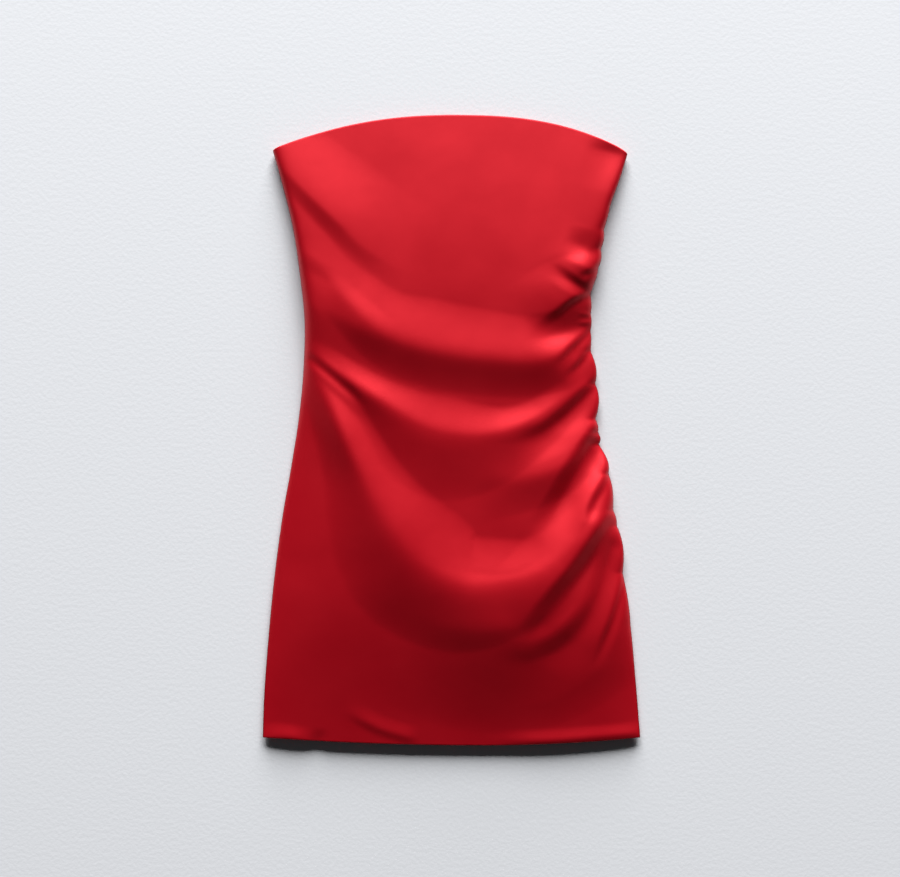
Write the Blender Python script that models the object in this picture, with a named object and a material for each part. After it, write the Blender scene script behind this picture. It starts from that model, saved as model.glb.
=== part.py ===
"""A strapless mini dress laid flat: a draped front panel over a back panel, sewn at both sides.

The right side seam is gathered, and its folds swing across the front to the left side seam.
+X runs across the dress, +Y towards the neckline and +Z up off the surface that it lies on.
The origin is under the middle of the dress, on that surface.
"""

import math
from collections import namedtuple

import bmesh
import bpy
import numpy as np

# Sizes below are in millimetres, and MM turns them into the scene's metres.
MM = 0.001

# The neckline's arc, highest in the middle.
NECK_TOP_Y = 379.2
NECK_RISE = 45.0
NECK_TILT = 2.0
NECK_SKEW = 0.07
NECK_ROUNDNESS = 2.4
BACK_NECK_RISE = 20.0

# The hem's shallow curve, lowest a little right of the middle.
HEM_CORNER_Y = -371.2
HEM_HALF_WIDTH = 227.5
HEM_DROP = 9.2
HEM_LOWEST_X = 38.0
BACK_HEM_SHORTER = 3.0

# The cloth, which is doubled where it is turned in at the hem and the neckline.
CLOTH = 1.6
TURNED_CLOTH = 2.4
HEM_TURN = 25.0
NECK_TURN = 20.0
SEAM_GAP = 0.3

# How the front stands over the back, from one side seam to the other.
SEAM_Z = 6.5
SEAM_LIFT_PER_BULGE = 0.3
LEFT_EASE = 0.55
LEFT_FOLD_REACH = 9.0
RIGHT_FOLD_REACH = 24.0
FOLD_EDGE_ROUND = 0.5

# A fold's crest in cross-section: how round it is, and how fast its flanks fall away.
CREST_ROUND = 0.22
CREST_POWER = 1.4

# The gathered stretches stand out of the seam only this near to it, as a share of the width.
BULGE_START = 0.9
BULGE_FULLNESS = 0.8

# The back curls up to the side seams over this width, and lies flat between them.
BACK_CURL = 10.0
BACK_FOLD_CLEAR = 12.0

# The satin: its colours on the front and, a little darker, on the back, and its sheen.
FRONT_RED = (0.60, 0.01, 0.03)
BACK_RED = (0.50, 0.01, 0.03)
SATIN_ROUGHNESS = 0.45

# Edges sharper than this many degrees stay sharp when the panels are shaded smooth.
SHARP_EDGE = 50.0

# Points along a fold's spine between two of its own points.
SPINE_STEPS = 8

# Rows run across the dress: each zone is from_y, to_y and the space between its rows.
RowZone = namedtuple("RowZone", "from_y to_y spacing")
ROW_ZONES = (
    RowZone(HEM_CORNER_Y, -345.0, 8.5),
    RowZone(-345.0, -205.0, 12.5),
    RowZone(-205.0, 215.0, 7.8),
    RowZone(215.0, 333.0, 12.0),
)

# Columns run from hem to neckline: they close up towards each side seam by these distances.
SIDE_COLUMNS = (0.0, 0.8, 2.2, 4.6, 8.5, 14.0, 21.5)
FRONT_MIDDLE_COLUMNS = 18
BACK_MIDDLE_COLUMNS = 8
COLUMN_WIDTH = 390.0
FRONT_COLUMN_LEAN = 0.22

LeftStation = namedtuple("LeftStation", "seam_y seam_x")
LEFT_SEAM = (
    LeftStation(340.0, -216.0),
    LeftStation(306.0, -206.4),
    LeftStation(246.0, -191.4),
    LeftStation(186.0, -182.2),
    LeftStation(126.0, -176.4),
    LeftStation(90.0, -177.0),
    LeftStation(18.0, -183.0),
    LeftStation(-42.0, -192.2),
    LeftStation(-101.0, -202.6),
    LeftStation(-173.0, -212.4),
    LeftStation(-257.0, -220.6),
    LeftStation(-329.0, -225.6),
    LeftStation(-372.0, -226.9),
)

# The stitches pull the right seam in at each station, and the cloth below it bulges out.
RightStation = namedtuple("RightStation", "seam_y seam_x bulge_below")
RIGHT_SEAM = (
    RightStation(340.0, 215.2, 0.0),
    RightStation(300.0, 203.0, 0.0),
    RightStation(268.0, 191.6, 1.0),
    RightStation(240.0, 184.0, 2.2),
    RightStation(217.0, 180.4, 2.2),
    RightStation(194.0, 177.2, 1.6),
    RightStation(163.0, 168.0, 1.6),
    RightStation(140.0, 168.2, 1.4),
    RightStation(119.0, 168.0, 1.2),
    RightStation(94.0, 168.2, 4.2),
    RightStation(55.0, 173.4, 5.0),
    RightStation(12.0, 174.0, 2.0),
    RightStation(-4.0, 176.8, 3.0),
    RightStation(-18.0, 177.8, 5.0),
    RightStation(-53.0, 189.4, 2.6),
    RightStation(-97.0, 195.4, 1.6),
    RightStation(-116.0, 199.8, 4.0),
    RightStation(-172.0, 206.8, 1.4),
    RightStation(-235.0, 216.4, 0.0),
    RightStation(-300.0, 222.4, 0.0),
    RightStation(-372.0, 228.2, 0.0),
)

# The front's height up its middle with the folds left out. A high squareness keeps it level
# nearly out to that side's seam, and a high ease brings it down to the seam gently.
BaseStation = namedtuple("BaseStation", "station_y height left_squareness right_squareness right_ease")
FRONT_BASE = (
    BaseStation(379.0, 9.4, 10.0, 8.0, 0.55),
    BaseStation(350.0, 12.7, 10.0, 8.0, 0.55),
    BaseStation(320.0, 16.1, 10.0, 8.0, 0.55),
    BaseStation(290.0, 19.4, 9.0, 7.0, 0.55),
    BaseStation(260.0, 22.4, 8.0, 6.0, 0.55),
    BaseStation(230.0, 24.9, 6.6, 5.0, 0.55),
    BaseStation(200.0, 26.8, 5.4, 4.0, 0.55),
    BaseStation(170.0, 28.2, 4.0, 3.0, 0.55),
    BaseStation(140.0, 28.9, 3.4, 2.8, 0.55),
    BaseStation(100.0, 29.0, 2.8, 2.6, 0.55),
    BaseStation(50.0, 28.5, 2.6, 2.6, 0.55),
    BaseStation(-150.0, 29.5, 2.6, 2.6, 0.55),
    BaseStation(-200.0, 28.0, 2.8, 2.8, 0.55),
    BaseStation(-240.0, 24.5, 3.0, 3.0, 0.55),
    BaseStation(-280.0, 20.0, 3.2, 3.2, 0.55),
    BaseStation(-315.0, 16.0, 3.4, 3.4, 0.55),
    BaseStation(-347.0, 12.6, 3.6, 3.6, 0.55),
    BaseStation(-379.0, 9.8, 3.6, 3.6, 0.55),
)

# A fold runs along its spine from left to right. Its widths are on its upper and lower flank,
# evenly spaced from its left end to its right, and a fade is the share of its length that it
# takes to rise or die away. A height below zero is a crease.
Fold = namedtuple("Fold", "name height upper_widths lower_widths fade_in fade_out spine")
FRONT_FOLDS = (
    Fold("bust", 4.8, (50, 70, 80), (28, 36, 44), 0.0, 0.7,
         ((-226, 340), (-190, 303), (-158, 268), (-122, 238), (-84, 216), (-40, 200))),
    Fold("high waist", 7.2, (30, 44, 60, 42, 20), (28, 32, 46, 42, 20), 0.38, 0.22,
         ((-200, 237), (-148, 187), (-120, 151), (-75, 113), (-15, 94), (50, 85), (100, 83),
          (140, 94), (180, 124))),
    Fold("high waist, lower", 4.0, (14, 14, 16), (30, 32, 34), 0.0, 0.4,
         ((-196, 165), (-158, 145), (-126, 129), (-92, 111), (-60, 100))),
    Fold("waist", 7.4, (18, 27, 42, 17, 9), (16, 30, 80, 40, 14), 0.3, 0.35,
         ((-190, 100), (-150, 77), (-95, 40), (-40, 5), (10, -8), (60, -5), (100, 11), (119, 24),
          (142, 39), (160, 50), (184, 64))),
    Fold("belly", 7.5, (44, 26, 16), (60, 40, 14), 0.6, 0.0,
         ((20, -62), (85, -58), (118, -50), (140, -38), (158, -18), (186, 22))),
    Fold("swag", 12.6, (18, 46, 66, 48, 30), (18, 39, 80, 68, 22), 0.12, 0.14,
         ((-182, 100), (-146, 33), (-115, -36), (-79, -106), (-37, -156), (15, -185), (60, -187),
          (110, -173), (155, -131), (204, -72))),
    Fold("corner dent", -1.2, (9, 9), (9, 9), 0.5, 0.0, ((168, 336), (196, 335), (222, 332))),
    Fold("armpit crease", -2.0, (5, 5), (5, 5), 0.2, 0.2, ((194, 278), (187, 258), (183, 240))),
    Fold("top gather dip", -3.0, (10, 7), (10, 7), 0.5, 0.0,
         ((158, 250), (168, 232), (176, 214), (186, 204))),
    Fold("top gather", 4.0, (34, 24), (20, 8), 0.7, 0.0,
         ((116, 219), (140, 204), (158, 194), (174, 193), (190, 198))),
    Fold("top gather slot", -3.0, (6, 5), (7, 6), 0.5, 0.0,
         ((150, 179), (162, 185), (176, 190), (188, 196))),
    Fold("second gather dip", -4.0, (9, 6), (14, 8), 0.6, 0.0,
         ((112, 199), (128, 189), (143, 178), (160, 168), (182, 159))),
    Fold("second gather", 5.5, (60, 45), (14, 6), 0.6, 0.0,
         ((92, 122), (118, 139), (134, 151), (149, 160), (166, 166), (182, 170))),
    Fold("pocket", -4.0, (22, 18), (20, 14), 0.5, 0.0,
         ((84, 102), (107, 110), (130, 116), (150, 121), (184, 129))),
    Fold("seam pucker", 1.6, (4, 4), (4, 4), 0.5, 0.0, ((150, 139), (160, 139), (180, 140))),
    Fold("lower seam pucker", 1.6, (4, 4), (4, 4), 0.5, 0.0, ((148, 127), (158, 128), (180, 130))),
    Fold("third gather crease", -4.0, (7, 5), (12, 7), 0.5, 0.0,
         ((122, 71), (134, 82), (143, 92), (155, 103), (166, 114), (182, 127))),
    Fold("fourth gather crease", -3.4, (6, 4), (12, 8), 0.5, 0.0,
         ((134, 58), (149, 71), (158, 81), (166, 92), (182, 108))),
    Fold("waist crease", -4.0, (12, 10, 8), (18, 16, 12), 0.5, 0.0,
         ((70, -17), (107, -6), (131, 11), (148, 26), (163, 40), (184, 58))),
    Fold("side crease", -1.5, (7, 7), (8, 8), 0.0, 0.4,
         ((-176, 92), (-158, 80), (-140, 67), (-124, 56), (-108, 41), (-94, 24))),
    Fold("belly crease", -5.0, (18, 12, 8), (44, 34, 20), 0.4, 0.0,
         ((106, -114), (121, -92), (134, -68), (145, -46), (156, -26), (168, -6), (184, 14))),
    Fold("hip", 2.6, (28, 22), (9, 6), 0.4, 0.0,
         ((146, -130), (158, -106), (169, -82), (182, -62), (198, -30))),
    Fold("hip crease", -3.0, (5, 5), (9, 7), 0.3, 0.0,
         ((159, -112), (168, -92), (178, -74), (194, -50))),
    Fold("low hip", 4.5, (26, 14), (9, 7), 0.4, 0.0,
         ((124, -190), (139, -171), (151, -154), (161, -140), (171, -122), (181, -106), (198, -84))),
    Fold("low hip crease", -3.0, (12, 9, 7), (50, 40, 20), 0.4, 0.0,
         ((100, -234), (131, -197), (146, -176), (158, -158), (168, -143), (178, -126), (188, -110),
          (206, -84))),
    Fold("thigh", 1.8, (22, 20, 12), (20, 18, 10), 0.4, 0.1,
         ((60, -264), (98, -258), (126, -244), (150, -222), (166, -198), (178, -172), (188, -140),
          (200, -112))),
    Fold("lower skirt", 10.0, (50, 54, 40), (90, 108, 96), 0.5, 0.6,
         ((-80, -212), (-10, -235), (50, -243), (110, -238), (165, -220))),
    Fold("thigh dip", -2.5, (26, 18, 8), (40, 30, 12), 0.4, 0.1,
         ((50, -278), (100, -271), (132, -257), (156, -234), (172, -208), (183, -180), (191, -150),
          (202, -118))),
    Fold("side drape", 3.0, (18, 14), (9, 6), 0.4, 0.0,
         ((168, -284), (179, -254), (191, -224), (202, -192), (212, -160))),
    Fold("side drape crease", -2.5, (6, 5), (14, 8), 0.4, 0.0,
         ((172, -290), (184, -252), (194, -226), (204, -196), (212, -166))),
    Fold("hem lip, right", 1.8, (14, 14), (10, 10), 0.4, 0.0,
         ((40, -374), (110, -374), (180, -369), (240, -364))),
    Fold("hem lip, left", 2.0, (18, 14), (10, 10), 0.0, 0.4,
         ((-240, -371), (-205, -369), (-165, -373))),
    Fold("hem dimple", -2.0, (12, 12), (12, 12), 0.0, 0.6, ((-164, -386), (-154, -358))),
    Fold("hem streak", 1.2, (16, 16), (10, 10), 0.4, 0.2,
         ((-130, -334), (-88, -358), (-36, -374))),
)

# The back's folds are pressed under the dress, so each is a low groove lifted off the surface.
BACK_FOLDS = (
    Fold("back top gather", 2.4, (9, 7), (9, 7), 0.6, 0.0, ((96, 236), (140, 214), (184, 203))),
    Fold("back second gather", 2.8, (12, 8), (12, 8), 0.6, 0.0, ((70, 196), (124, 174), (172, 168))),
    Fold("back high waist", 3.6, (12, 16, 10), (12, 16, 10), 0.3, 0.0,
         ((-176, 176), (-110, 136), (-30, 104), (60, 92), (128, 108), (170, 132))),
    Fold("back waist", 3.2, (10, 15, 9), (10, 15, 9), 0.3, 0.0,
         ((-178, 96), (-118, 52), (-40, 20), (50, 14), (124, 38), (176, 72))),
    Fold("back belly", 2.6, (14, 9), (14, 9), 0.6, 0.0, ((30, -42), (110, -30), (178, 14))),
    Fold("back swag", 3.6, (10, 18, 10), (10, 18, 10), 0.3, 0.0,
         ((-184, 72), (-136, -30), (-64, -116), (30, -152), (112, -126), (188, -40))),
    Fold("back hip", 2.8, (14, 9), (14, 9), 0.6, 0.0, ((66, -206), (140, -166), (196, -90))),
    Fold("back thigh", 2.4, (14, 9), (14, 9), 0.6, 0.0, ((104, -264), (166, -212), (204, -136))),
)


def ramp(value, span):
    """0 below zero, 1 past the span, and a smooth rise between them."""
    if span <= 0:
        return np.ones_like(value)
    share = np.clip(value / span, 0, 1)
    return share * share * (3 - 2 * share)


def smooth_curve(knots, at):
    """A smooth curve through (position, value) knots, read at the positions given."""
    position, value = np.array(sorted(knots), float).T
    slope = np.gradient(value, position)
    at = np.clip(np.asarray(at, float), position[0], position[-1])
    i = np.clip(np.searchsorted(position, at) - 1, 0, len(position) - 2)
    span = position[i + 1] - position[i]
    t = (at - position[i]) / span
    return (
        (2 * t**3 - 3 * t**2 + 1) * value[i]
        + (t**3 - 2 * t**2 + t) * span * slope[i]
        + (3 * t**2 - 2 * t**3) * value[i + 1]
        + (t**3 - t**2) * span * slope[i + 1]
    )


def right_seam_x(y):
    return smooth_curve([station[:2] for station in RIGHT_SEAM], y)


def right_bulge(y):
    """How far each gathered stretch of the right seam stands out past the line of its stitches."""
    stations = sorted(RIGHT_SEAM)
    bulge = np.zeros_like(y)
    for low, high in zip(stations[:-1], stations[1:]):
        t = np.clip((y - low.seam_y) / (high.seam_y - low.seam_y), 0, 1)
        bulge = bulge + high.bulge_below * np.sin(math.pi * t) ** BULGE_FULLNESS
    return bulge


def across_to_x(across, y):
    """The x of a point that lies this share of the way from the left seam to the right one."""
    left = smooth_curve(LEFT_SEAM, y)
    bulge = right_bulge(y) * ramp(across - BULGE_START, 1 - BULGE_START)
    return left + (right_seam_x(y) - left) * across + bulge


def seam_z(across, y):
    """The seams' height, a little more where the gathers bulge out of the right one."""
    return SEAM_Z + SEAM_LIFT_PER_BULGE * right_bulge(y) * ramp(across - BULGE_START, 1 - BULGE_START)


def neck_y(across, rise):
    side = 2 * across - 1
    corner = NECK_TOP_Y - NECK_RISE - NECK_TILT * side
    skewed = side - NECK_SKEW * (1 - side**2)
    return corner + rise - rise * np.abs(skewed) ** NECK_ROUNDNESS


def hem_y(across, shorter):
    side = 2 * across - 1
    x = side * HEM_HALF_WIDTH
    reach = np.where(x < HEM_LOWEST_X, HEM_HALF_WIDTH + HEM_LOWEST_X, HEM_HALF_WIDTH - HEM_LOWEST_X)
    return HEM_CORNER_Y - (HEM_DROP - shorter) * (1 - ((x - HEM_LOWEST_X) / reach) ** 2)


def spine_points(spine):
    """Points of a smooth line through the spine's own points."""
    points = np.array(spine, float)
    ends = np.vstack([2 * points[0] - points[1], points, 2 * points[-1] - points[-2]])
    line = []
    for before, start, end, after in zip(ends[:-3], ends[1:-2], ends[2:-1], ends[3:]):
        for k in range(SPINE_STEPS):
            t = k / SPINE_STEPS
            bend = (2 * before - 5 * start + 4 * end - after) * t * t
            twist = (3 * start - before - 3 * end + after) * t**3
            line.append(0.5 * (2 * start + (end - before) * t + bend + twist))
    line.append(points[-1])
    return np.array(line)


def along_and_off(x, y, spine):
    """How far along a spine each point lies, from 0 to 1, and how far off it, above it if positive."""
    line = spine_points(spine)
    start, run = line[:-1], np.diff(line, axis=0)
    length = np.hypot(run[:, 0], run[:, 1])
    before = np.concatenate([[0.0], np.cumsum(length)])
    nearest = np.full(x.shape, np.inf)
    along = np.zeros(x.shape)
    off = np.zeros(x.shape)
    for i in range(len(start)):
        dx, dy = x - start[i, 0], y - start[i, 1]
        t = np.clip((dx * run[i, 0] + dy * run[i, 1]) / length[i] ** 2, 0, 1)
        away_x, away_y = dx - t * run[i, 0], dy - t * run[i, 1]
        distance = np.hypot(away_x, away_y)
        side = np.where(run[i, 0] * away_y - run[i, 1] * away_x >= 0, 1.0, -1.0)
        nearer = distance < nearest
        nearest = np.where(nearer, distance, nearest)
        off = np.where(nearer, side * distance, off)
        along = np.where(nearer, (before[i] + t * length[i]) / before[-1], along)
    return along, off


def width_along(along, widths):
    """A flank's width, read from widths that are evenly spaced along the fold."""
    return smooth_curve([(i / (len(widths) - 1), width) for i, width in enumerate(widths)], along)


def fold_height(x, y, fold):
    along, off = along_and_off(x, y, fold.spine)
    width = np.where(off >= 0, width_along(along, fold.upper_widths), width_along(along, fold.lower_widths))
    reach = np.clip(np.abs(off) / width, 0, 1)
    rounded = np.sqrt(reach**2 + CREST_ROUND**2) - CREST_ROUND
    flank = (1 - rounded / (math.hypot(1, CREST_ROUND) - CREST_ROUND)) ** CREST_POWER
    return fold.height * flank * ramp(along, fold.fade_in) * ramp(1 - along, fold.fade_out)


def base_value(y, column):
    return smooth_curve([(base.station_y, getattr(base, column)) for base in FRONT_BASE], y)


def front_z(across, x, y):
    """The height of the front's outer face."""
    side = np.abs(2 * across - 1)
    low = seam_z(across, y)
    right = across > 0.5
    squareness = np.where(right, base_value(y, "right_squareness"), base_value(y, "left_squareness"))
    ease = np.where(right, base_value(y, "right_ease"), LEFT_EASE)
    body = low + (base_value(y, "height") - low) * (1 - side**squareness) ** ease
    folds = sum(fold_height(x, y, fold) for fold in FRONT_FOLDS)
    reach = np.where(right, RIGHT_FOLD_REACH, LEFT_FOLD_REACH)
    return body + folds * (1 - side**reach) ** FOLD_EDGE_ROUND


def back_z(across, x, y):
    """The height of the back's outer face, which is its underside."""
    from_seam = np.minimum(across, 1 - across) * COLUMN_WIDTH
    curl = 1 - np.sqrt(1 - (1 - np.clip(from_seam / BACK_CURL, 0, 1)) ** 2)
    folds = sum(fold_height(x, y, fold) for fold in BACK_FOLDS)
    return (seam_z(across, y) - SEAM_GAP) * curl + folds * ramp(from_seam - BACK_CURL, BACK_FOLD_CLEAR)


def row_shares():
    """How far up the side seams each row starts, from 0 at the hem to 1 at the neckline."""
    stations = [ROW_ZONES[0].from_y]
    for zone in ROW_ZONES:
        count = round((zone.to_y - zone.from_y) / zone.spacing)
        stations += [zone.from_y + (zone.to_y - zone.from_y) * (k + 1) / count for k in range(count)]
    stations = np.array(stations)
    return (stations - stations[0]) / (stations[-1] - stations[0])


def column_shares(middle_columns, lean):
    """How far across each column lies, close together at both seams and leaning to the right one."""
    side = np.array(SIDE_COLUMNS) / COLUMN_WIDTH
    t = np.arange(1, middle_columns) / middle_columns
    t = t + lean * t * (1 - t)
    middle = side[-1] + (1 - 2 * side[-1]) * t
    return np.concatenate([side, middle, 1 - side[::-1]])


def panel_points(columns, rows, neck_rise, hem_shorter, height):
    """The outer face's points, as rows of (x, y, z), and the seams' height beside each of them."""
    across, up = np.meshgrid(columns, rows)
    low, high = hem_y(across, hem_shorter), neck_y(across, neck_rise)
    y = low + (high - low) * up
    x = across_to_x(across, y)
    return np.stack([x, y, height(across, x, y)], axis=-1), seam_z(across, y)


def outward_normals(points, facing):
    """Unit normals of the outer face, made level along both seams so that the panels meet there."""
    along_x = np.gradient(points, axis=1)
    along_y = np.gradient(points, axis=0)
    normals = np.cross(along_x, along_y) * facing
    normals[:, 0] = (-1.0, 0.0, 0.0)
    normals[:, -1] = (1.0, 0.0, 0.0)
    return normals / np.linalg.norm(normals, axis=-1, keepdims=True)


def wall_thickness(points):
    """The cloth's thickness at each point, doubled near the hem and the neckline."""
    from_hem = points[..., 1] - points[:1, :, 1]
    from_neck = points[-1:, :, 1] - points[..., 1]
    turned = (from_hem < HEM_TURN) | (from_neck < NECK_TURN)
    return np.where(turned, TURNED_CLOTH, CLOTH)[..., None]


def grid_of(bm, points):
    """A grid of faces whose vertices are moved to the points, and those vertices by row."""
    rows, columns = points.shape[:2]
    made = bmesh.ops.create_grid(bm, x_segments=columns - 1, y_segments=rows - 1, size=1.0)
    ordered = sorted(made["verts"], key=lambda v: (round(v.co.y, 5), round(v.co.x, 5)))
    for vertex, point in zip(ordered, points.reshape(-1, 3) * MM):
        vertex.co = point
    return ordered


def inner_points(points, facing, meeting_z):
    """The outer face moved in by the cloth's thickness, but not past where the two panels meet."""
    inner = points - outward_normals(points, facing) * wall_thickness(points)
    keep_clear = np.maximum if facing > 0 else np.minimum
    inner[..., 2] = keep_clear(inner[..., 2], meeting_z)
    return inner


def build_panel(name, points, inner, facing, material):
    """A panel as one closed wall: an outer face, an inner one, and their edges bridged."""
    bm = bmesh.new()
    grid_of(bm, points if facing > 0 else inner)
    upper_edges = [edge for edge in bm.edges if edge.is_boundary]
    upper = set(bm.faces)
    grid_of(bm, inner if facing > 0 else points)
    lower = [face for face in bm.faces if face not in upper]
    bmesh.ops.reverse_faces(bm, faces=lower)
    lower_edges = list({edge for face in lower for edge in face.edges if edge.is_boundary})
    bmesh.ops.bridge_loops(bm, edges=upper_edges + lower_edges)
    bmesh.ops.recalc_face_normals(bm, faces=bm.faces)
    if bm.calc_volume(signed=True) < 0:
        bmesh.ops.reverse_faces(bm, faces=bm.faces)
    mesh = bpy.data.meshes.new(name)
    bm.to_mesh(mesh)
    bm.free()
    mesh.shade_smooth()
    mesh.set_sharp_from_angle(angle=math.radians(SHARP_EDGE))
    mesh.materials.append(material)
    panel = bpy.data.objects.new(name, mesh)
    bpy.context.scene.collection.objects.link(panel)
    return panel


def satin(name, colour):
    material = bpy.data.materials.new(name)
    material.use_nodes = True
    shader = material.node_tree.nodes["Principled BSDF"]
    shader.inputs["Base Color"].default_value = (*colour, 1.0)
    shader.inputs["Roughness"].default_value = SATIN_ROUGHNESS
    return material


def build_front(rows):
    columns = column_shares(FRONT_MIDDLE_COLUMNS, FRONT_COLUMN_LEAN)
    points, seam = panel_points(columns, rows, NECK_RISE, 0.0, front_z)
    inner = inner_points(points, 1, seam)
    return build_panel("front_panel", points, inner, 1, satin("red_satin_front", FRONT_RED))


def build_back(rows):
    columns = column_shares(BACK_MIDDLE_COLUMNS, 0.0)
    points, seam = panel_points(columns, rows, BACK_NECK_RISE, BACK_HEM_SHORTER, back_z)
    inner = inner_points(points, -1, seam - SEAM_GAP)
    return build_panel("back_panel", points, inner, -1, satin("red_satin_back", BACK_RED))


def main():
    for obj in list(bpy.data.objects):
        bpy.data.objects.remove(obj)
    rows = row_shares()
    build_front(rows)
    build_back(rows)


main()
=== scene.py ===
"""A red satin strapless mini dress laid flat, gathered into its right side seam.

+X runs across the dress, +Y towards its neckline and +Z up off the surface that it lies on.
"""

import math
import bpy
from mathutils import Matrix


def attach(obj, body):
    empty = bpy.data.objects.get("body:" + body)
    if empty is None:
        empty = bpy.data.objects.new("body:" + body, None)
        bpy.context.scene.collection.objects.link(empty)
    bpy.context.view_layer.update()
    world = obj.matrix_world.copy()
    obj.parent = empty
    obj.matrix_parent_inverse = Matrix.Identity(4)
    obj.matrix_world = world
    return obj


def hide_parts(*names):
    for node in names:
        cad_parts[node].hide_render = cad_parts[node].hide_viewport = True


bl_info = {
    "name": "Strapless Dress",
    "version": (1, 0, 0),
    "blender": (4, 5, 0),
    "location": "View3D > Sidebar > Dress",
    "description": "Builds a draped strapless dress, its satin and its studio stage",
    "category": "Add Mesh",
}

from collections import namedtuple

import bmesh
import bpy
import numpy as np
from bpy.props import FloatProperty, FloatVectorProperty, PointerProperty
from mathutils import Vector

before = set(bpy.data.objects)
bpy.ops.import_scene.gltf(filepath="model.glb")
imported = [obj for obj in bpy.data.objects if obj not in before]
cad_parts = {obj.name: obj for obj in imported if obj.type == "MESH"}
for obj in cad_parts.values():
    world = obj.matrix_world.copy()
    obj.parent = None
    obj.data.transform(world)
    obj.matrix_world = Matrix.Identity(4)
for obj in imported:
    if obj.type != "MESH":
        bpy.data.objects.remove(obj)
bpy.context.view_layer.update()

# Sizes in the tables are in millimetres, and MM turns them into the scene's metres.
MM = 0.001

# The neckline's arc, highest in the middle.
NECK_TOP_Y = 379.2
NECK_RISE = 45.0
NECK_TILT = 2.0
NECK_SKEW = 0.07
NECK_ROUNDNESS = 2.4
BACK_NECK_RISE = 20.0

# The hem's shallow curve, lowest a little right of the middle.
HEM_CORNER_Y = -371.2
HEM_HALF_WIDTH = 227.5
HEM_DROP = 9.2
HEM_LOWEST_X = 38.0
BACK_HEM_SHORTER = 3.0

# Where the hem and the neckline are turned in, and how round their folded edges are.
HEM_TURN = 25.0
NECK_TURN = 20.0
TURN_BLEND = 3.0
EDGE_ROUND = 1.3
THINNEST_EDGE = 0.16

# The panels stay this far apart along both side seams.
SEAM_GAP = 0.3

# How the front stands over the back, from one side seam to the other.
SEAM_Z = 6.5
SEAM_LIFT_PER_BULGE = 0.3
LEFT_EASE = 0.55
LEFT_FOLD_REACH = 9.0
RIGHT_FOLD_REACH = 24.0
FOLD_EDGE_ROUND = 0.5

# A fold's crest in cross-section: how round it is, and how fast its flanks fall away.
CREST_ROUND = 0.22
CREST_POWER = 1.4

# The gathered stretches stand out of the seam only this near to it, as a share of the width.
BULGE_START = 0.955
BULGE_FULLNESS = 0.8

# The back curls up to the side seams over this width, and lies flat between them.
BACK_CURL = 10.0
BACK_FOLD_CLEAR = 12.0

# Points along a fold's spine between two of its own points.
SPINE_STEPS = 24

# Rows and columns close up at an edge by these distances, and are evenly spaced between.
EDGE_ROWS = (0.0, 0.12, 0.4, 0.85, 1.5, 2.4, 3.8)
SIDE_COLUMNS = (0.0, 0.3, 0.8, 1.6, 2.8, 4.4, 6.5)
COLUMN_WIDTH = 390.0
ROW_LENGTH = 740.0

# Vertices in one row of a new grid agree to this many digits.
GRID_DIGITS = 5

LeftStation = namedtuple("LeftStation", "seam_y seam_x")
LEFT_SEAM = (
    LeftStation(340.0, -216.0),
    LeftStation(306.0, -206.4),
    LeftStation(246.0, -191.4),
    LeftStation(186.0, -182.2),
    LeftStation(126.0, -176.4),
    LeftStation(90.0, -177.0),
    LeftStation(18.0, -183.0),
    LeftStation(-42.0, -192.2),
    LeftStation(-101.0, -202.6),
    LeftStation(-173.0, -212.4),
    LeftStation(-257.0, -220.6),
    LeftStation(-329.0, -225.6),
    LeftStation(-372.0, -226.9),
)

# The stitches pull the right seam in at each station, and the cloth below it bulges out.
RightStation = namedtuple("RightStation", "seam_y seam_x bulge_below")
RIGHT_SEAM = (
    RightStation(340.0, 215.2, 0.0),
    RightStation(300.0, 203.0, 0.0),
    RightStation(268.0, 191.6, 1.0),
    RightStation(240.0, 184.0, 2.2),
    RightStation(217.0, 180.4, 2.2),
    RightStation(194.0, 177.2, 1.6),
    RightStation(163.0, 168.0, 1.6),
    RightStation(140.0, 168.2, 1.4),
    RightStation(119.0, 168.0, 1.2),
    RightStation(94.0, 168.2, 4.2),
    RightStation(55.0, 173.4, 5.0),
    RightStation(12.0, 174.0, 2.0),
    RightStation(-4.0, 176.8, 3.0),
    RightStation(-18.0, 177.8, 5.0),
    RightStation(-53.0, 189.4, 2.6),
    RightStation(-97.0, 195.4, 1.6),
    RightStation(-116.0, 199.8, 4.0),
    RightStation(-172.0, 206.8, 1.4),
    RightStation(-235.0, 216.4, 0.0),
    RightStation(-300.0, 222.4, 0.0),
    RightStation(-372.0, 228.2, 0.0),
)

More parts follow.
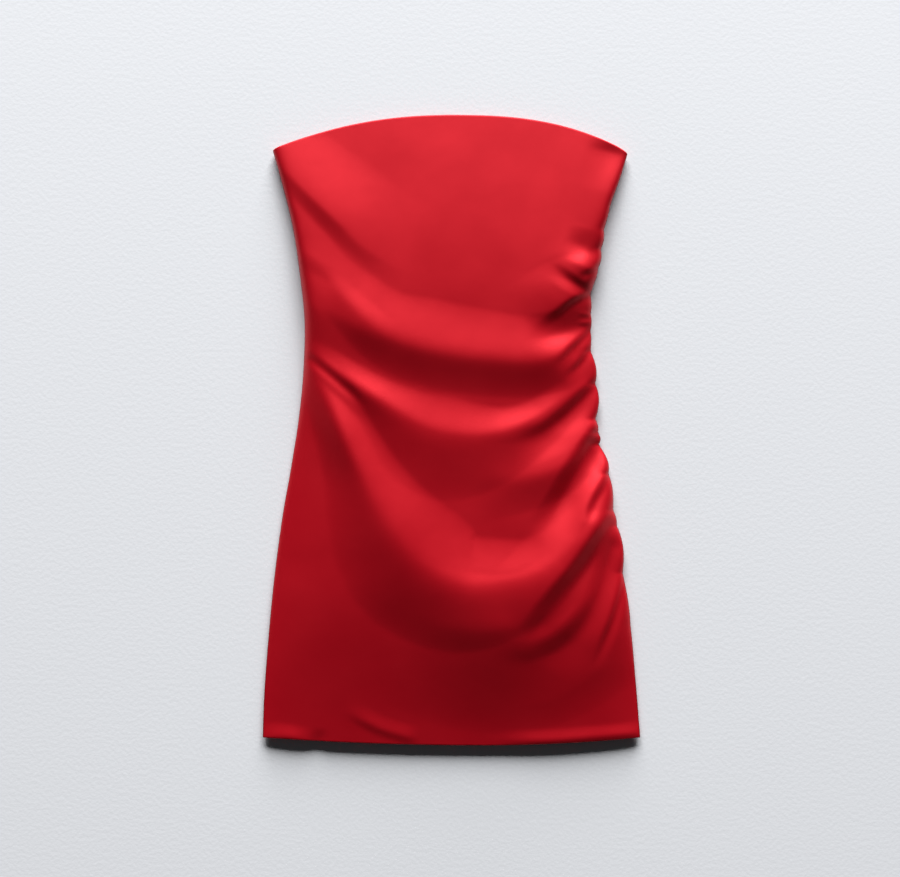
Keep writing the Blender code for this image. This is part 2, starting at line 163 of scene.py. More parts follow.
# The front's height up its middle with the folds left out. A high squareness keeps it level
# nearly out to that side's seam, and a high ease brings it down to the seam gently.
BaseStation = namedtuple("BaseStation", "station_y height left_squareness right_squareness right_ease")
FRONT_BASE = (
    BaseStation(379.0, 9.4, 56.0, 60.0, 0.4),
    BaseStation(350.0, 12.7, 56.0, 60.0, 0.4),
    BaseStation(320.0, 16.1, 56.0, 60.0, 0.4),
    BaseStation(290.0, 19.4, 54.0, 58.0, 0.4),
    BaseStation(260.0, 22.4, 48.0, 46.0, 0.42),
    BaseStation(230.0, 25.0, 42.0, 28.0, 0.46),
    BaseStation(200.0, 27.1, 34.0, 15.0, 0.5),
    BaseStation(170.0, 28.8, 24.0, 8.0, 0.55),
    BaseStation(140.0, 29.8, 20.0, 5.5, 0.55),
    BaseStation(100.0, 30.0, 14.0, 4.4, 0.55),
    BaseStation(50.0, 29.3, 8.0, 3.8, 0.55),
    BaseStation(-150.0, 29.5, 3.0, 8.0, 0.55),
    BaseStation(-200.0, 28.0, 3.0, 8.0, 0.55),
    BaseStation(-240.0, 24.5, 3.2, 6.5, 0.55),
    BaseStation(-280.0, 20.0, 3.4, 4.8, 0.55),
    BaseStation(-315.0, 16.0, 3.4, 3.4, 0.55),
    BaseStation(-347.0, 12.6, 3.6, 3.6, 0.55),
    BaseStation(-379.0, 9.8, 3.6, 3.6, 0.55),
)

# A fold runs along its spine from left to right. Its widths are on its upper and lower flank,
# evenly spaced from its left end to its right, and a fade is the share of its length that it
# takes to rise or die away. A height below zero is a crease.
Fold = namedtuple("Fold", "name height upper_widths lower_widths fade_in fade_out spine")
FRONT_FOLDS = (
    Fold("bust", 4.2, (62, 78, 88), (14, 21, 30), 0.0, 0.6,
         ((-228, 340), (-196, 307), (-165, 277), (-134, 248), (-108, 222), (-78, 202), (-32, 178))),
    Fold("high waist", 7.0, (30, 44, 60, 54, 40), (28, 32, 46, 46, 34), 0.46, 0.2,
         ((-200, 237), (-148, 187), (-120, 151), (-75, 113), (-15, 94), (50, 85), (100, 83),
          (140, 94), (180, 124))),
    Fold("high waist, lower", 2.8, (60, 40, 24), (40, 38, 36), 0.0, 0.4,
         ((-196, 165), (-158, 145), (-126, 129), (-92, 111), (-60, 100))),
    Fold("side ripple", -1.0, (18, 18), (22, 22), 0.1, 0.6, ((-186, 196), (-160, 184), (-128, 164))),
    Fold("waist", 6.8, (18, 27, 46, 26, 16), (16, 30, 80, 40, 16), 0.3, 0.35,
         ((-190, 100), (-150, 77), (-95, 40), (-40, 5), (10, -8), (60, -5), (100, 11), (119, 24),
          (142, 39), (160, 50), (184, 64))),
    Fold("belly", 4.4, (48, 42, 34), (56, 38, 18), 0.5, 0.0,
         ((0, -66), (45, -61), (85, -58), (118, -50), (140, -38), (158, -18), (186, 22))),
    Fold("swag", 12.0, (24, 42, 76, 46, 26), (18, 42, 88, 60, 30), 0.22, 0.45,
         ((-182, 100), (-146, 33), (-115, -36), (-80, -109), (-40, -159), (12, -186), (60, -183),
          (110, -168), (154, -129), (202, -68))),
    Fold("corner dent", -3.2, (14, 20), (50, 50), 0.6, 0.0, ((158, 339), (190, 333), (222, 323))),
    Fold("top gather dip", -3.2, (20, 28), (26, 20), 0.5, 0.3,
         ((132, 226), (150, 221), (168, 213), (186, 203))),
    Fold("top gather", 3.8, (44, 46), (30, 18), 0.6, 0.0,
         ((112, 221), (138, 206), (158, 196), (174, 192), (192, 190), (216, 188))),
    Fold("top gather slot", -2.0, (6, 5), (7, 6), 0.5, 0.0,
         ((150, 179), (162, 185), (176, 190), (188, 196))),
    Fold("second gather dip", -2.8, (10, 7), (18, 12), 0.6, 0.0,
         ((112, 199), (128, 189), (143, 178), (160, 168), (182, 159))),
    Fold("second gather", 5.5, (60, 45), (14, 6), 0.6, 0.0,
         ((92, 122), (118, 139), (134, 151), (149, 160), (166, 166), (182, 170))),
    Fold("pocket", -4.4, (30, 24), (30, 20), 0.5, 0.0,
         ((84, 102), (107, 110), (130, 116), (150, 121), (184, 129))),
    Fold("seam pucker", 1.6, (4, 4), (4, 4), 0.5, 0.0, ((150, 139), (160, 139), (180, 140))),
    Fold("lower seam pucker", 1.6, (4, 4), (4, 4), 0.5, 0.0, ((148, 127), (158, 128), (180, 130))),
    Fold("third gather crease", -3.8, (9, 7), (30, 20), 0.5, 0.0,
         ((122, 71), (134, 82), (143, 92), (155, 103), (166, 114), (182, 127))),
    Fold("fourth gather crease", -3.4, (8, 6), (30, 20), 0.5, 0.0,
         ((134, 58), (149, 71), (158, 81), (166, 92), (182, 108))),
    Fold("waist crease", -4.0, (14, 13, 12), (32, 34, 34), 0.5, 0.0,
         ((70, -17), (107, -6), (131, 11), (148, 26), (163, 40), (184, 58))),
    Fold("side crease", -2.0, (9, 9), (9, 9), 0.1, 0.4,
         ((-176, 90), (-159, 77), (-145, 66), (-131, 54), (-115, 39), (-100, 21))),
    Fold("belly crease", -6.4, (24, 20, 15), (48, 46, 40), 0.4, 0.0,
         ((102, -132), (119, -109), (134, -84), (147, -58), (160, -37), (173, -17), (190, 4))),
    Fold("hip", 2.6, (28, 22), (9, 6), 0.4, 0.0,
         ((146, -130), (158, -106), (169, -82), (182, -62), (198, -30))),
    Fold("hip crease", -2.2, (7, 6), (34, 26), 0.3, 0.0,
         ((159, -112), (168, -92), (178, -74), (194, -50))),
    Fold("low hip", 7.0, (64, 58, 50), (26, 24, 22), 0.42, 0.0,
         ((80, -237), (97, -212), (117, -187), (138, -162), (156, -138), (171, -117), (188, -92),
          (206, -66))),
    Fold("low hip crease", -3.0, (22, 20, 13), (90, 80, 46), 0.22, 0.0,
         ((84, -268), (97, -249), (113, -224), (132, -200), (151, -177), (168, -154), (183, -130),
          (208, -96))),
    Fold("thigh", 1.6, (26, 24, 18), (22, 20, 14), 0.4, 0.1,
         ((60, -264), (98, -258), (126, -244), (150, -222), (166, -198), (178, -172), (188, -140),
          (200, -112))),
    Fold("lower skirt", 10.5, (76, 70, 50), (100, 126, 130), 0.5, 0.4,
         ((-80, -216), (-10, -238), (50, -243), (100, -230), (140, -200), (176, -152))),
    Fold("thigh dip", -3.4, (30, 22, 12), (60, 44, 20), 0.4, 0.1,
         ((46, -283), (98, -277), (131, -263), (155, -238), (172, -210), (183, -180), (191, -150),
          (202, -118))),
    Fold("side drape", 1.7, (28, 22), (12, 9), 0.4, 0.0,
         ((168, -284), (179, -254), (191, -224), (202, -192), (212, -160))),
    Fold("side drape crease", -2.5, (6, 5), (14, 8), 0.4, 0.0,
         ((172, -290), (184, -252), (194, -226), (204, -196), (212, -166))),
    Fold("hem lip, right", 1.8, (14, 14), (10, 10), 0.4, 0.0,
         ((40, -374), (110, -374), (180, -369), (240, -364))),
    Fold("hem lip, left", 2.0, (18, 14), (10, 10), 0.0, 0.4,
         ((-240, -371), (-205, -369), (-165, -373))),
    Fold("hem dimple", -1.1, (13, 13), (13, 13), 0.0, 0.6, ((-164, -386), (-154, -358))),
    Fold("hem streak", 1.2, (16, 16), (10, 10), 0.4, 0.2,
         ((-130, -334), (-88, -358), (-36, -374))),
)

# The back's folds are pressed under the dress, so each is a low groove lifted off the surface.
BACK_FOLDS = (
    Fold("back top gather", 2.4, (9, 7), (9, 7), 0.6, 0.0, ((96, 236), (140, 214), (184, 203))),
    Fold("back second gather", 2.8, (12, 8), (12, 8), 0.6, 0.0, ((70, 196), (124, 174), (172, 168))),
    Fold("back high waist", 3.6, (12, 16, 10), (12, 16, 10), 0.3, 0.0,
         ((-176, 176), (-110, 136), (-30, 104), (60, 92), (128, 108), (170, 132))),
    Fold("back waist", 3.2, (10, 15, 9), (10, 15, 9), 0.3, 0.0,
         ((-178, 96), (-118, 52), (-40, 20), (50, 14), (124, 38), (176, 72))),
    Fold("back belly", 2.6, (14, 9), (14, 9), 0.6, 0.0, ((30, -42), (110, -30), (178, 14))),
    Fold("back swag", 3.6, (10, 18, 10), (10, 18, 10), 0.3, 0.0,
         ((-184, 72), (-136, -30), (-64, -116), (30, -152), (112, -126), (188, -40))),
    Fold("back hip", 2.8, (14, 9), (14, 9), 0.6, 0.0, ((66, -206), (140, -166), (196, -90))),
    Fold("back thigh", 2.4, (14, 9), (14, 9), 0.6, 0.0, ((104, -264), (166, -212), (204, -136))),
)

# The weave's angle to the cloth's width is in degrees. The wave texture's bands lie 0.314 m apart
# at a scale of 1. A thread's depth is a share of the space between threads.
WEAVE_ANGLE = 63.0
WAVE_SPACING = 0.314
WAVE_DISTORTION = 0.6
WAVE_DETAIL = 1.0
WAVE_DETAIL_SCALE = 2.0
THREAD_DEPTH = 0.2
THREAD_STRENGTH = 0.15

# The soft unevenness left by handling, and how far the satin's red and roughness follow it.
HANDLING_SCALE = 14.0
HANDLING_DETAIL = 3.0
HANDLING_ROUGHNESS = 0.45
HANDLING_LOW = 0.3
HANDLING_HIGH = 0.7
HANDLING_STRENGTH = 0.35
DARKER_RED = 0.93
LIGHTER_RED = 1.05
ROUGHNESS_SWING = 0.03

# The red of the painted shade along the side seams, where the cloth turns under, as a share of its
# own, and the satin's clear shine.
SEAM_SHADE_RED = 0.4
SATIN_SPECULAR = 0.44

# The surface's grain and matt finish, its half size and how far it lies under the dress.
GRAIN_SCALE = 220.0
GRAIN_DETAIL = 4.0
GRAIN_STRENGTH = 0.25
GRAIN_DEPTH = 0.0006
PLASTER_ROUGHNESS = 0.9
PLASTER_SPECULAR = 0.1
SURFACE_HALF_SIZE = 12.0
SURFACE_Z = -0.0004

# The key light's sides, the colour of the even light, and the camera straight above the dress.
KEY_WIDTH = 9.0
KEY_DEPTH = 6.8
FILL_COLOUR = (0.94, 0.97, 1.0, 1.0)
CAMERA_PLACE = (-0.0012, -0.0108, 2.2)
CAMERA_SENSOR = 36.0
CAMERA_LENS = 72.8


def ramp(value, span):
    """0 below zero, 1 past the span, and a smooth rise between them."""
    if span <= 0:
        return np.ones_like(value)
    share = np.clip(value / span, 0, 1)
    return share * share * (3 - 2 * share)


def smooth_curve(knots, at):
    """A smooth curve through (position, value) knots, read at the positions given."""
    position, value = np.array(sorted(knots), float).T
    slope = np.gradient(value, position)
    at = np.clip(np.asarray(at, float), position[0], position[-1])
    i = np.clip(np.searchsorted(position, at) - 1, 0, len(position) - 2)
    span = position[i + 1] - position[i]
    t = (at - position[i]) / span
    return (
        (2 * t**3 - 3 * t**2 + 1) * value[i]
        + (t**3 - 2 * t**2 + t) * span * slope[i]
        + (3 * t**2 - 2 * t**3) * value[i + 1]
        + (t**3 - t**2) * span * slope[i + 1]
    )


def right_seam_x(y):
    return smooth_curve([station[:2] for station in RIGHT_SEAM], y)


def right_bulge(y):
    """How far each gathered stretch of the right seam stands out past the line of its stitches."""
    stations = sorted(RIGHT_SEAM)
    bulge = np.zeros_like(y)
    for low, high in zip(stations[:-1], stations[1:]):
        t = np.clip((y - low.seam_y) / (high.seam_y - low.seam_y), 0, 1)
        bulge = bulge + high.bulge_below * np.sin(math.pi * t) ** BULGE_FULLNESS
    return bulge


def across_to_x(across, y):
    """The x of a point that lies this share of the way from the left seam to the right one."""
    left = smooth_curve(LEFT_SEAM, y)
    bulge = right_bulge(y) * ramp(across - BULGE_START, 1 - BULGE_START)
    return left + (right_seam_x(y) - left) * across + bulge


def seam_z(across, y):
    """The seams' height, a little more where the gathers bulge out of the right one."""
    return SEAM_Z + SEAM_LIFT_PER_BULGE * right_bulge(y) * ramp(across - BULGE_START, 1 - BULGE_START)


def neck_y(across, rise):
    side = 2 * across - 1
    corner = NECK_TOP_Y - NECK_RISE - NECK_TILT * side
    skewed = side - NECK_SKEW * (1 - side**2)
    return corner + rise - rise * np.abs(skewed) ** NECK_ROUNDNESS


def hem_y(across, shorter):
    side = 2 * across - 1
    x = side * HEM_HALF_WIDTH
    reach = np.where(x < HEM_LOWEST_X, HEM_HALF_WIDTH + HEM_LOWEST_X, HEM_HALF_WIDTH - HEM_LOWEST_X)
    return HEM_CORNER_Y - (HEM_DROP - shorter) * (1 - ((x - HEM_LOWEST_X) / reach) ** 2)


def spine_points(spine):
    """Points of a smooth line through the spine's own points."""
    points = np.array(spine, float)
    ends = np.vstack([2 * points[0] - points[1], points, 2 * points[-1] - points[-2]])
    line = []
    for before, start, end, after in zip(ends[:-3], ends[1:-2], ends[2:-1], ends[3:]):
        for k in range(SPINE_STEPS):
            t = k / SPINE_STEPS
            bend = (2 * before - 5 * start + 4 * end - after) * t * t
            twist = (3 * start - before - 3 * end + after) * t**3
            line.append(0.5 * (2 * start + (end - before) * t + bend + twist))
    line.append(points[-1])
    return np.array(line)


def along_and_off(x, y, spine):
    """How far along a spine each point lies, from 0 to 1, and how far off it, above it if positive."""
    line = spine_points(spine)
    start, run = line[:-1], np.diff(line, axis=0)
    length = np.hypot(run[:, 0], run[:, 1])
    before = np.concatenate([[0.0], np.cumsum(length)])
    nearest = np.full(x.shape, np.inf)
    along = np.zeros(x.shape)
    off = np.zeros(x.shape)
    for i in range(len(start)):
        dx, dy = x - start[i, 0], y - start[i, 1]
        t = np.clip((dx * run[i, 0] + dy * run[i, 1]) / length[i] ** 2, 0, 1)
        away_x, away_y = dx - t * run[i, 0], dy - t * run[i, 1]
        distance = np.hypot(away_x, away_y)
        side = np.where(run[i, 0] * away_y - run[i, 1] * away_x >= 0, 1.0, -1.0)
        nearer = distance < nearest
        nearest = np.where(nearer, distance, nearest)
        off = np.where(nearer, side * distance, off)
        along = np.where(nearer, (before[i] + t * length[i]) / before[-1], along)
    return along, off


def width_along(along, widths):
    """A flank's width, read from widths that are evenly spaced along the fold."""
    return smooth_curve([(i / (len(widths) - 1), width) for i, width in enumerate(widths)], along)


def fold_height(x, y, fold):
    along, off = along_and_off(x, y, fold.spine)
    upper = width_along(along, fold.upper_widths)
    lower = width_along(along, fold.lower_widths)
    width = np.where(off >= 0, upper, lower)
    reach = np.clip(np.abs(off) / width, 0, 1)
    rounded = np.sqrt(reach**2 + CREST_ROUND**2) - CREST_ROUND
    flank = (1 - rounded / (math.hypot(1, CREST_ROUND) - CREST_ROUND)) ** CREST_POWER
    return fold.height * flank * ramp(along, fold.fade_in) * ramp(1 - along, fold.fade_out)


def base_value(y, column):
    return smooth_curve([(base.station_y, getattr(base, column)) for base in FRONT_BASE], y)


def front_z(across, x, y):
    """The height of the front's outer face."""
    side = np.abs(2 * across - 1)
    low = seam_z(across, y)
    right = across > 0.5
    squareness = np.where(right, base_value(y, "right_squareness"), base_value(y, "left_squareness"))
    ease = np.where(right, base_value(y, "right_ease"), LEFT_EASE)
    body = low + (base_value(y, "height") - low) * (1 - side**squareness) ** ease
    folds = sum(fold_height(x, y, fold) for fold in FRONT_FOLDS)
    reach = np.where(right, RIGHT_FOLD_REACH, LEFT_FOLD_REACH)
    return body + folds * (1 - side**reach) ** FOLD_EDGE_ROUND


def back_z(across, x, y):
    """The height of the back's outer face, which is its underside."""
    from_seam = np.minimum(across, 1 - across) * COLUMN_WIDTH
    curl = 1 - np.sqrt(1 - (1 - np.clip(from_seam / BACK_CURL, 0, 1)) ** 2)
    folds = sum(fold_height(x, y, fold) for fold in BACK_FOLDS)
    return (seam_z(across, y) - SEAM_GAP) * curl + folds * ramp(from_seam - BACK_CURL, BACK_FOLD_CLEAR)


def edge_shares(edge_steps, length, spacing):
    """Shares from 0 to 1 that close up at both ends by the steps and are evenly spaced between."""
    steps = np.array(edge_steps) / length
    count = round((1 - 2 * steps[-1]) * length / spacing)
    middle = steps[-1] + (1 - 2 * steps[-1]) * np.arange(1, count) / count
    return np.concatenate([steps, middle, 1 - steps[::-1]])


def panel_points(columns, rows, neck_rise, hem_shorter, height):
    """The outer face's points by row, the seams' height beside each, and its place on the cloth."""
    across, up = np.meshgrid(columns, rows)
    low, high = hem_y(across, hem_shorter), neck_y(across, neck_rise)
    y = low + (high - low) * up
    x = across_to_x(across, y)
    place = np.stack([across * COLUMN_WIDTH, up * ROW_LENGTH], axis=-1) * MM
    return np.stack([x, y, height(across, x, y)], axis=-1), seam_z(across, y), place


def outward_normals(points, facing):
    """Unit normals of the outer face, made level along both seams so that the panels meet there."""
    along_x = np.gradient(points, axis=1)
    along_y = np.gradient(points, axis=0)
    normals = np.cross(along_x, along_y) * facing
    normals[:, 0] = (-1.0, 0.0, 0.0)
    normals[:, -1] = (1.0, 0.0, 0.0)
    return normals / np.linalg.norm(normals, axis=-1, keepdims=True)


def from_edges(points):
    """How far each point is from the hem and from the neckline."""
    return points[..., 1] - points[:1, :, 1], points[-1:, :, 1] - points[..., 1]


def wall_thickness(points, sizes):
    """The cloth's thickness at each point, doubled where the hem and the neckline are turned in."""
    hem, neck = from_edges(points)
    at_hem = ramp(HEM_TURN + TURN_BLEND - hem, TURN_BLEND)
    at_neck = ramp(NECK_TURN + TURN_BLEND - neck, TURN_BLEND)
    turned = np.maximum(at_hem, at_neck)
    return (sizes.cloth + (sizes.turned_cloth - sizes.cloth) * turned) / MM


def edge_fullness(points):
    """The share of its thickness that the wall keeps, thinning round the folded hem and neckline."""
    hem, neck = from_edges(points)
    inward = np.clip(np.minimum(hem, neck) / EDGE_ROUND, 0, 1)
    return np.maximum(np.sqrt(1 - (1 - inward) ** 2), THINNEST_EDGE)


def wall_faces(points, facing, meeting_z, sizes):
    """The wall's outer and inner points, which stay on their own side of where the panels meet."""
    normals = outward_normals(points, facing)
    thickness = wall_thickness(points, sizes)
    thinned = thickness * (1 - edge_fullness(points)) / 2
    outer = points - normals * thinned[..., None]
    inner = points - normals * (thickness - thinned)[..., None]
    keep_clear = np.maximum if facing > 0 else np.minimum
    inner[..., 2] = keep_clear(inner[..., 2], meeting_z)
    return outer, inner


def grid_of(bm, points, place, cloth_layer):
    """A grid of faces whose vertices are moved to the points, with each one's place on the cloth."""
    rows, columns = points.shape[:2]
    made = bmesh.ops.create_grid(bm, x_segments=columns - 1, y_segments=rows - 1, size=1.0)
    ordered = sorted(
        made["verts"], key=lambda v: (round(v.co.y, GRID_DIGITS), round(v.co.x, GRID_DIGITS))
    )
    on_cloth = {}
    for vertex, point, spot in zip(ordered, points.reshape(-1, 3) * MM, place.reshape(-1, 2)):
        vertex.co = point
        on_cloth[vertex] = spot
    faces = {face for vertex in ordered for face in vertex.link_faces}
    for face in faces:
        for loop in face.loops:
            loop[cloth_layer].uv = on_cloth[loop.vert]
    return list(faces)


def panel_wall(sizes, spacing, neck_rise, hem_shorter, height, facing):
    """A panel's outer and inner points, and their place on the cloth.

    Facing is 1 for the front, whose outer face is up, and -1 for the back.
    """
    columns = edge_shares(SIDE_COLUMNS, COLUMN_WIDTH, spacing / MM)
    rows = edge_shares(EDGE_ROWS, ROW_LENGTH, spacing / MM)
    points, seam, place = panel_points(columns, rows, neck_rise, hem_shorter, height)
    meeting_z = seam if facing > 0 else seam - SEAM_GAP
    outer, inner = wall_faces(points, facing, meeting_z, sizes)
    return outer, inner, place


def mesh_object(name, bm, material):
    """Put what bm holds in the scene, as an object of one material."""
    mesh = bpy.data.meshes.new(name)
    bm.to_mesh(mesh)
    bm.free()
    mesh.materials.append(material)
    made = bpy.data.objects.new(name, mesh)
    bpy.context.scene.collection.objects.link(made)
    return made


def build_panel(name, upper_points, lower_points, place, material):
    """A panel as one closed wall: its upper and lower faces, and their edges bridged."""
    bm = bmesh.new()
    cloth_layer = bm.loops.layers.uv.new("cloth")
    grid_of(bm, upper_points, place, cloth_layer)
    upper_edges = [edge for edge in bm.edges if edge.is_boundary]
    lower = grid_of(bm, lower_points, place, cloth_layer)
    bmesh.ops.reverse_faces(bm, faces=lower)
    lower_edges = list({edge for face in lower for edge in face.edges if edge.is_boundary})
    bmesh.ops.bridge_loops(bm, edges=upper_edges + lower_edges)
    bmesh.ops.recalc_face_normals(bm, faces=bm.faces)
    if bm.calc_volume(signed=True) < 0:
        bmesh.ops.reverse_faces(bm, faces=bm.faces)
    panel = mesh_object(name, bm, material)
    panel.data.shade_smooth()
    return panel


def new_material(name):
    """A material, its node tree and its shader."""
    material = bpy.data.materials.new(name)
    material.use_nodes = True
    return material, material.node_tree, material.node_tree.nodes["Principled BSDF"]


def set_inputs(node, values):
    """Set inputs of a node, each by its name or its place."""
    for name, value in values.items():
        node.inputs[name].default_value = value


def add_node(tree, kind, values=None, **settings):
    """A node with these settings, and these values on its inputs."""
    node = tree.nodes.new(kind)
    for name, value in settings.items():
        setattr(node, name, value)
    set_inputs(node, values or {})
    return node


def tinted(colour, share):
    """The colour darkened or lightened by a share, with its alpha."""
    return (*(min(1.0, share * c) for c in colour), 1.0)


def satin(name, colour, finish):
    """Red satin: a fine weave that follows the cloth, a soft unevenness, a tinted shine and painted
    shade along its side seams.
    """
    material, tree, shader = new_material(name)
    link = tree.links.new

    cloth = add_node(tree, "ShaderNodeUVMap", uv_map="cloth")
    threads = add_node(
        tree, "ShaderNodeMapping", {"Rotation": (0.0, 0.0, math.radians(WEAVE_ANGLE))}
    )
    weave = add_node(
        tree, "ShaderNodeTexWave",
        {
            "Scale": WAVE_SPACING / finish.thread_pitch,
            "Distortion": WAVE_DISTORTION,
            "Detail": WAVE_DETAIL,
            "Detail Scale": WAVE_DETAIL_SCALE,
        },
        wave_type="BANDS", bands_direction="X", wave_profile="SIN",
    )
    link(cloth.outputs["UV"], threads.inputs["Vector"])
    link(threads.outputs["Vector"], weave.inputs["Vector"])

    place = add_node(tree, "ShaderNodeTexCoord")
    handling = add_node(
        tree, "ShaderNodeTexNoise",
        {
            "Scale": HANDLING_SCALE,
            "Detail": HANDLING_DETAIL,
            "Roughness": HANDLING_ROUGHNESS,
        },
        noise_dimensions="3D",
    )
    link(place.outputs["Object"], handling.inputs["Vector"])

    tint = add_node(
        tree, "ShaderNodeMixRGB",
        {"Color1": tinted(colour, DARKER_RED), "Color2": tinted(colour, LIGHTER_RED)},
        blend_type="MIX",
    )
    link(handling.outputs["Fac"], tint.inputs["Fac"])

    # Painted shade: the red is darkened in a thin strip along both side seams, where the cloth turns
    # under out of the light.
    half_width = COLUMN_WIDTH * MM / 2
    across = add_node(tree, "ShaderNodeSeparateXYZ")
    link(cloth.outputs["UV"], across.inputs["Vector"])
    from_middle = add_node(tree, "ShaderNodeMath", {1: half_width}, operation="SUBTRACT")
    link(across.outputs["X"], from_middle.inputs[0])
    outwards = add_node(tree, "ShaderNodeMath", operation="ABSOLUTE")
    link(from_middle.outputs["Value"], outwards.inputs[0])
    painted_seam_shade = add_node(
        tree, "ShaderNodeMapRange",
        {"From Min": half_width - finish.seam_shadow, "From Max": half_width},
        interpolation_type="SMOOTHSTEP",
    )
    link(outwards.outputs["Value"], painted_seam_shade.inputs["Value"])
    seam_shade_mix = add_node(
        tree, "ShaderNodeMixRGB", {"Color2": tinted(colour, SEAM_SHADE_RED)}, blend_type="MIX"
    )
    link(painted_seam_shade.outputs["Result"], seam_shade_mix.inputs["Fac"])
    link(tint.outputs["Color"], seam_shade_mix.inputs["Color1"])
    link(seam_shade_mix.outputs["Color"], shader.inputs["Base Color"])

    dull = add_node(
        tree, "ShaderNodeMapRange",
        {
            "From Min": HANDLING_LOW,
            "From Max": HANDLING_HIGH,
            "To Min": finish.roughness - ROUGHNESS_SWING,
            "To Max": finish.roughness + ROUGHNESS_SWING,
        },
    )
    link(handling.outputs["Fac"], dull.inputs["Value"])
    link(dull.outputs["Result"], shader.inputs["Roughness"])

    soft = add_node(
        tree, "ShaderNodeBump",
        {"Strength": HANDLING_STRENGTH, "Distance": finish.wrinkle_depth},
    )
    link(handling.outputs["Fac"], soft.inputs["Height"])
    fine = add_node(
        tree, "ShaderNodeBump",
        {"Strength": THREAD_STRENGTH, "Distance": finish.thread_pitch * THREAD_DEPTH},
    )
    link(weave.outputs["Fac"], fine.inputs["Height"])
    link(soft.outputs["Normal"], fine.inputs["Normal"])
    link(fine.outputs["Normal"], shader.inputs["Normal"])

    set_inputs(shader, {"Metallic": finish.tinted_shine, "Specular IOR Level": SATIN_SPECULAR})
    return material


class DressSizes(bpy.types.PropertyGroup):
    """Sizes of the dress's cloth."""

    cloth: FloatProperty(
        name="Cloth", description="Thickness of the satin", default=0.0016, min=0.001, max=0.003,
        unit="LENGTH", precision=4,
    )
    turned_cloth: FloatProperty(
        name="Turned cloth", description="Thickness where the hem and the neckline are turned in",
        default=0.0024, min=0.001, max=0.004, unit="LENGTH", precision=4,
    )
    front_spacing: FloatProperty(
        name="Front mesh", description="Space between the front's rows and columns", default=0.0027,
        min=0.0024, max=0.02, unit="LENGTH", precision=4,
    )
    back_spacing: FloatProperty(
        name="Back mesh", description="Space between the back's rows and columns", default=0.0040,
        min=0.0024, max=0.02, unit="LENGTH", precision=4,
    )


class SatinFinish(bpy.types.PropertyGroup):
    """The satin's colours and shine."""

    front_red: FloatVectorProperty(
        name="Front", description="Colour of the front's satin", subtype="COLOR", size=3,
        default=(0.56, 0.0012, 0.011), min=0.0, max=1.0,
    )
    back_red: FloatVectorProperty(
        name="Back", description="Colour of the back's satin", subtype="COLOR", size=3,
        default=(0.52, 0.0012, 0.011), min=0.0, max=1.0,
    )
    roughness: FloatProperty(
        name="Roughness", description="How broad the satin's highlights are", default=0.46,
        min=0.1, max=0.9, subtype="FACTOR",
    )
    tinted_shine: FloatProperty(
        name="Tinted shine", description="Share of the shine that takes the satin's own red",
        default=0.42, min=0.0, max=1.0, subtype="FACTOR",
    )
    thread_pitch: FloatProperty(
        name="Thread pitch", description="Space between the weave's threads", default=0.0005,
        min=0.0002, max=0.002, unit="LENGTH", precision=5,
    )
    # Painted shade: how wide the darkened strip along each side seam is.
    seam_shadow: FloatProperty(
        name="Seam shadow", description="Width of the darker cloth beside each side seam",
        default=0.0014, min=0.0005, max=0.01, unit="LENGTH", precision=4,
    )
    wrinkle_depth: FloatProperty(
        name="Wrinkle depth", description="Depth of the soft unevenness left by handling",
        default=0.0012, min=0.0, max=0.005, unit="LENGTH", precision=4,
    )


class StageLook(bpy.types.PropertyGroup):
    """The surface that the dress lies on, and its light."""

    floor_colour: FloatVectorProperty(
        name="Surface", description="Colour of the surface", subtype="COLOR", size=3,
        default=(0.755, 0.77, 0.803), min=0.0, max=1.0,
    )
    key_power: FloatProperty(
        name="Key light", description="Power of the large soft light beyond the neckline",
        default=4560.0, min=0.0, unit="POWER",
    )
    key_distance: FloatProperty(
        name="Key distance", description="How far off the key light stands", default=12.0,
        min=1.0, unit="LENGTH",
    )
    key_height: FloatProperty(
        name="Key height", description="The key light's angle above the surface",
        default=math.radians(20.5), min=0.0, max=math.radians(90), unit="ROTATION",
    )
    key_turn: FloatProperty(
        name="Key turn", description="How far the key light stands right of the neckline",
        default=math.radians(2), min=-math.pi, max=math.pi, unit="ROTATION",
    )
    fill: FloatProperty(
        name="Fill", description="Strength of the even light from all round", default=0.028,
        min=0.0, max=1.0, subtype="FACTOR",
    )


class DRESS_OT_front_panel(bpy.types.Operator):
    """Build the front panel with its folds and gathers"""

    bl_idname = "dress.front_panel"
    bl_label = "Front Panel"
    bl_options = {"REGISTER", "UNDO"}

    def execute(self, context):
        sizes, finish = context.scene.dress_sizes, context.scene.dress_satin
        outer, inner, place = panel_wall(sizes, sizes.front_spacing, NECK_RISE, 0.0, front_z, 1)
        material = satin("front satin", finish.front_red, finish)
        panel = build_panel("satin_front", outer, inner, place, material)
        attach(panel, "root")
        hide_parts("front_panel")
        return {"FINISHED"}


class DRESS_OT_back_panel(bpy.types.Operator):
    """Build the back panel, which lies on the surface"""

    bl_idname = "dress.back_panel"
    bl_label = "Back Panel"
    bl_options = {"REGISTER", "UNDO"}

    def execute(self, context):
        sizes, finish = context.scene.dress_sizes, context.scene.dress_satin
        outer, inner, place = panel_wall(
            sizes, sizes.back_spacing, BACK_NECK_RISE, BACK_HEM_SHORTER, back_z, -1
        )
        material = satin("back satin", finish.back_red, finish)
        panel = build_panel("satin_back", inner, outer, place, material)
        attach(panel, "root")
        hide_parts("back_panel")
        return {"FINISHED"}


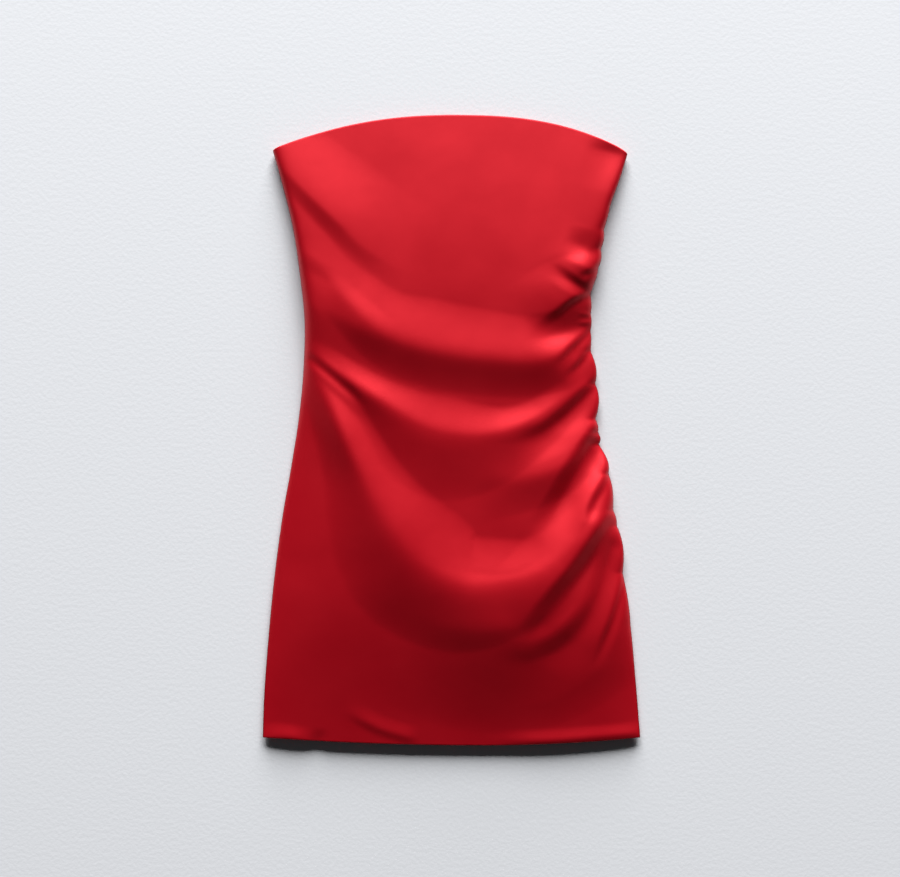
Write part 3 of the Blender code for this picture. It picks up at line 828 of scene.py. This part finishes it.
def plaster(look):
    """A pale, matt surface with a fine uneven grain."""
    material, tree, shader = new_material("pale plaster")
    link = tree.links.new
    place = add_node(tree, "ShaderNodeTexCoord")
    grain = add_node(
        tree, "ShaderNodeTexNoise",
        {"Scale": GRAIN_SCALE, "Detail": GRAIN_DETAIL}, noise_dimensions="3D",
    )
    link(place.outputs["Object"], grain.inputs["Vector"])
    relief = add_node(
        tree, "ShaderNodeBump", {"Strength": GRAIN_STRENGTH, "Distance": GRAIN_DEPTH}
    )
    link(grain.outputs["Fac"], relief.inputs["Height"])
    link(relief.outputs["Normal"], shader.inputs["Normal"])
    set_inputs(shader, {
        "Base Color": (*look.floor_colour, 1.0),
        "Roughness": PLASTER_ROUGHNESS,
        "Specular IOR Level": PLASTER_SPECULAR,
    })
    return material


def key_light(look):
    """One large soft light beyond the neckline, low over the surface."""
    light = bpy.data.lights.new("key", "AREA")
    light.shape = "RECTANGLE"
    light.size = KEY_WIDTH
    light.size_y = KEY_DEPTH
    light.energy = look.key_power
    lamp = bpy.data.objects.new("key", light)
    level = math.cos(look.key_height)
    towards = Vector((
        math.sin(look.key_turn) * level,
        math.cos(look.key_turn) * level,
        math.sin(look.key_height),
    ))
    lamp.location = towards * look.key_distance
    lamp.rotation_euler = towards.to_track_quat("Z", "Y").to_euler()
    bpy.context.scene.collection.objects.link(lamp)


class DRESS_OT_stage(bpy.types.Operator):
    """Set the surface, the light and the camera over the dress"""

    bl_idname = "dress.stage"
    bl_label = "Stage"
    bl_options = {"REGISTER", "UNDO"}

    def execute(self, context):
        look = context.scene.dress_stage
        bm = bmesh.new()
        bmesh.ops.create_grid(bm, x_segments=1, y_segments=1, size=SURFACE_HALF_SIZE)
        for vertex in bm.verts:
            vertex.co.z = SURFACE_Z
        floor = mesh_object("surface", bm, plaster(look))

        world = bpy.data.worlds.new("studio")
        world.use_nodes = True
        background = world.node_tree.nodes["Background"]
        set_inputs(background, {"Color": FILL_COLOUR, "Strength": look.fill})
        context.scene.world = world
        key_light(look)

        lens = bpy.data.cameras.new("camera")
        lens.sensor_width = CAMERA_SENSOR
        lens.lens = CAMERA_LENS
        camera = bpy.data.objects.new("camera", lens)
        camera.location = CAMERA_PLACE
        context.scene.collection.objects.link(camera)
        context.scene.camera = camera
        context.scene.view_settings.view_transform = "Standard"
        context.scene.view_settings.look = "None"
        return {"FINISHED"}


class DRESS_PT_panel(bpy.types.Panel):
    """Sizes, finish and steps of the dress"""

    bl_idname = "DRESS_PT_panel"
    bl_label = "Strapless Dress"
    bl_space_type = "VIEW_3D"
    bl_region_type = "UI"
    bl_category = "Dress"

    def draw(self, context):
        layout = self.layout
        scene = context.scene
        for group in (scene.dress_sizes, scene.dress_satin, scene.dress_stage):
            box = layout.box()
            for name in group.__annotations__:
                box.prop(group, name)
        for step in STEPS:
            layout.operator(step.bl_idname)


STEPS = (DRESS_OT_front_panel, DRESS_OT_back_panel, DRESS_OT_stage)
CLASSES = (DressSizes, SatinFinish, StageLook, *STEPS, DRESS_PT_panel)


def register():
    for cls in CLASSES:
        bpy.utils.register_class(cls)
    bpy.types.Scene.dress_sizes = PointerProperty(type=DressSizes)
    bpy.types.Scene.dress_satin = PointerProperty(type=SatinFinish)
    bpy.types.Scene.dress_stage = PointerProperty(type=StageLook)


def unregister():
    del bpy.types.Scene.dress_stage
    del bpy.types.Scene.dress_satin
    del bpy.types.Scene.dress_sizes
    for cls in reversed(CLASSES):
        bpy.utils.unregister_class(cls)


def main():
    register()
    bpy.ops.dress.front_panel()
    bpy.ops.dress.back_panel()
    bpy.ops.dress.stage()


if __name__ == "__main__":
    main()
